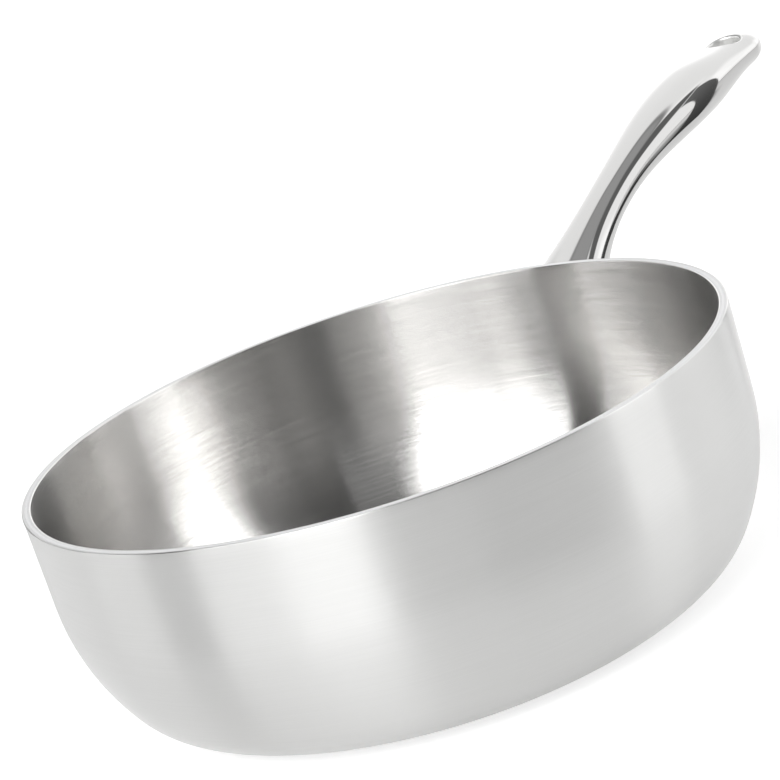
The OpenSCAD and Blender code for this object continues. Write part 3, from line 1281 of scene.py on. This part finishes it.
@dataclass
class Studio:
    """A pale floor and sweep, soft light and the camera."""

    camera: StudioCamera = field(default_factory=StudioCamera)
    floor_size: float = 12.0
    floor_grey: float = 0.62
    floor_to_camera: tuple[float, float] = (0.6, 1.0)
    floor_to_metal: float = 0.46
    floor_fade: tuple[float, float] = (0.4, 1.5)
    room: float = 0.035
    ceiling: Sector = Sector(-85.0, 42.0, 57.0, 95.0, 3.0)
    ceiling_brightness: float = 0.46
    overhead_from: float = 76.0
    overhead_brightness: float = 0.5
    sweep: Sector = Sector(-27.0, 53.0, -90.0, 56.0, 2.0)
    sweep_brightness: tuple[float, float] = (1.30, 1.24)
    wing: Sector = Sector(-56.0, -27.0, -90.0, 38.0, 2.0)
    wing_brightness: float = 1.38
    dusk: Sector = Sector(-80.0, -20.0, 38.0, 57.0, 3.0)
    dusk_brightness: float = 0.15
    back_glow: Sector = Sector(-38.0, -8.0, 2.0, 24.0, 5.0)
    back_brightness: float = 0.3
    horizon: Sector = Sector(-14.0, 40.0, -90.0, 16.0, 8.0)
    horizon_glow: float = 0.3
    horizon_fade: tuple[float, float] = (0.25, 0.9)
    # Painted shadow: a wedge of floor beyond the handle, between these distances, that mirrored rays see
    # darker.
    painted_shadow_sector: Sector = Sector(-46.0, -30.0, -90.0, 90.0, 4.0)
    painted_shadow_run: tuple[float, float] = (0.26, 0.62)
    painted_shadow_ends: tuple[float, float] = (0.04, 0.1)
    gap_shade: float = 0.8
    card: PaintedReflectionCard = field(default_factory=PaintedReflectionCard)
    handle_at: tuple[float, float, float] = (0.22, 0.0, 0.0)
    softboxes: tuple[Softbox, ...] = (
        Softbox("left softbox", 177.0, 33.0, 64.0, 50.0, 2.75),
        Softbox("left softbox's top", 187.0, 46.0, 36.0, 28.0, 4.0),
        Softbox("left softbox's middle", 188.0, 22.0, 26.0, 28.0, 0.4),
        Softbox("left softbox's edge", 226.0, 28.0, 24.0, 44.0, 0.32),
        Softbox("right softbox", 295.0, 23.0, 22.0, 40.0, 2.95),
        Softbox("right softbox's top", 294.0, 44.0, 24.0, 20.0, 0.7),
        Softbox("side panel", 90.0, 36.0, 30.0, 30.0, 0.4),
        Softbox("low strip's edge", 83.0, 14.0, 20.0, 16.0, 1.6),
        Softbox("low strip's middle", 101.0, 14.0, 18.0, 16.0, 1.4),
        Softbox("low strip", 120.0, 16.0, 24.0, 22.0, 2.2),
    )

    def build(self, aim: Vector) -> None:
        """Builds the floor, the world, the lamps and the camera.

        Args:
            aim: The centre of the pan's rim, in metres.
        """
        self.build_floor()
        self.build_world()
        self.card.build()
        for softbox in self.softboxes:
            softbox.build(aim)
        self.camera.build(aim)
        bpy.context.scene.view_settings.view_transform = "Standard"

    def build_floor(self) -> None:
        """Lays a pale floor under the pan, white to the camera apart from the pan's shadow; mirrored rays
        see it glow, more towards the horizon, with a wedge of painted shadow beyond the handle.
        """
        half = self.floor_size / 2
        corners = np.array([(-half, -half, 0), (half, -half, 0), (half, half, 0), (-half, half, 0)])
        floor = mesh_object("floor", corners, [(0, 1, 2, 3)])
        made = bpy.data.materials.new("pale floor")
        tree = empty_tree(made)
        place = tree.add("ShaderNodeTexCoord").outputs["Object"]
        away = tree.vector("SUBTRACT", {0: place, 1: self.handle_at})
        azimuth = bearing(tree, tree.add("ShaderNodeSeparateXYZ", {0: away}))
        distance = tree.vector("LENGTH", {0: away})
        # Painted shadow for mirrored rays only: a darker wedge of floor beyond the handle.
        run = tree.math("MULTIPLY", tree.step(distance, self.painted_shadow_run[0], self.painted_shadow_ends[0]),
                        tree.step(distance, self.painted_shadow_run[1], self.painted_shadow_ends[1], rising=False))
        painted_shadow_mask = tree.math("MULTIPLY", self.painted_shadow_sector.mask(tree, azimuth), run)
        fade = tree.remap(distance, *self.horizon_fade, 0.0, self.horizon_glow, smooth=True)
        far_glow = tree.math("MULTIPLY", self.horizon.mask(tree, azimuth), fade)
        path = tree.add("ShaderNodeLightPath")
        mirrored = path.outputs["Is Glossy Ray"]
        shade = tree.math("SUBTRACT", 1.0, tree.math("MULTIPLY", painted_shadow_mask, self.gap_shade))
        loss = tree.math("MULTIPLY", tree.math("SUBTRACT", 1.0, shade), mirrored)
        grey = tree.math("MULTIPLY", tree.math("SUBTRACT", 1.0, loss), self.floor_grey)
        colour = tree.add("ShaderNodeCombineColor", {"Red": grey, "Green": grey, "Blue": grey})
        matt = tree.add("ShaderNodeBsdfDiffuse", {"Color": colour.outputs[0]})
        to_metal = tree.math("ADD", tree.math("MULTIPLY", shade, self.floor_to_metal), far_glow)
        to_camera = tree.remap(distance, *self.floor_fade, *self.floor_to_camera, smooth=True)
        strength = tree.math("ADD", tree.math("MULTIPLY", to_metal, mirrored),
                             tree.math("MULTIPLY", path.outputs["Is Camera Ray"], to_camera))
        glow = tree.add("ShaderNodeEmission", {"Color": WHITE, "Strength": strength})
        both = tree.add("ShaderNodeAddShader", {0: matt.outputs[0], 1: glow.outputs[0]})
        tree.add("ShaderNodeOutputMaterial", {"Surface": both.outputs[0]})
        floor.data.materials.append(made)

    def build_world(self) -> None:
        """Lights the sweep behind the pan, the ceiling and the room, and shows white to the camera."""
        world = bpy.data.worlds.new("studio")
        bpy.context.scene.world = world
        tree = empty_tree(world)
        axes = tree.add("ShaderNodeSeparateXYZ", {0: tree.add("ShaderNodeTexCoord").outputs["Generated"]})
        azimuth = bearing(tree, axes)
        elevation = tree.math("DEGREES", tree.math("ARCSINE", axes.outputs["Z"]))
        level = tree.remap(azimuth, self.sweep.azimuth_from, self.sweep.azimuth_to, *self.sweep_brightness)
        around = [tree.math("MULTIPLY", sector.mask(tree, azimuth, elevation), brightness)
                  for sector, brightness in (
                      (self.sweep, level), (self.wing, self.wing_brightness),
                      (self.dusk, self.dusk_brightness), (self.back_glow, self.back_brightness),
                      (self.horizon, self.horizon_glow))]
        ceiling = tree.math("MULTIPLY", self.ceiling.mask(tree, azimuth, elevation),
                            self.ceiling_brightness)
        overhead = tree.math("MULTIPLY", tree.step(elevation, self.overhead_from, self.ceiling.softness),
                             self.overhead_brightness)
        above = tree.math("MAXIMUM", ceiling, overhead)
        light = tree.add("ShaderNodeBackground", {
            "Color": WHITE, "Strength": tree.total(*around, above, self.room)})
        white = tree.add("ShaderNodeBackground", {"Color": WHITE, "Strength": 1.0})
        shown = tree.add("ShaderNodeMixShader", {
            0: tree.add("ShaderNodeLightPath").outputs["Is Camera Ray"],
            1: light.outputs[0], 2: white.outputs[0]})
        tree.add("ShaderNodeOutputWorld", {"Surface": shown.outputs[0]})


def main() -> None:
    """Builds the pan's pieces and the studio in order."""
    logging.basicConfig(level=logging.INFO, format="%(name)s %(message)s")
    body = PanBody()
    body.build()
    handle = CastHandle()
    # The second steel is the hole's satin bore, lightened with painted light.
    steels = [CAST_STEEL.material(), SATIN_BORE_PAINTED_LIGHT.material()]
    dressed(handle.build(), steels, CAST_STEEL.slot, "handle")
    weld = SaddleWeld(handle)
    weld_steel = WELD_STEEL.material()
    dressed(weld.build(weld_steel), [weld_steel], WELD_STEEL.slot, "handle_weld")
    Studio().build(Vector((0.0, 0.0, body.form.pan_h * MM)))


if __name__ == "__main__":
    main()
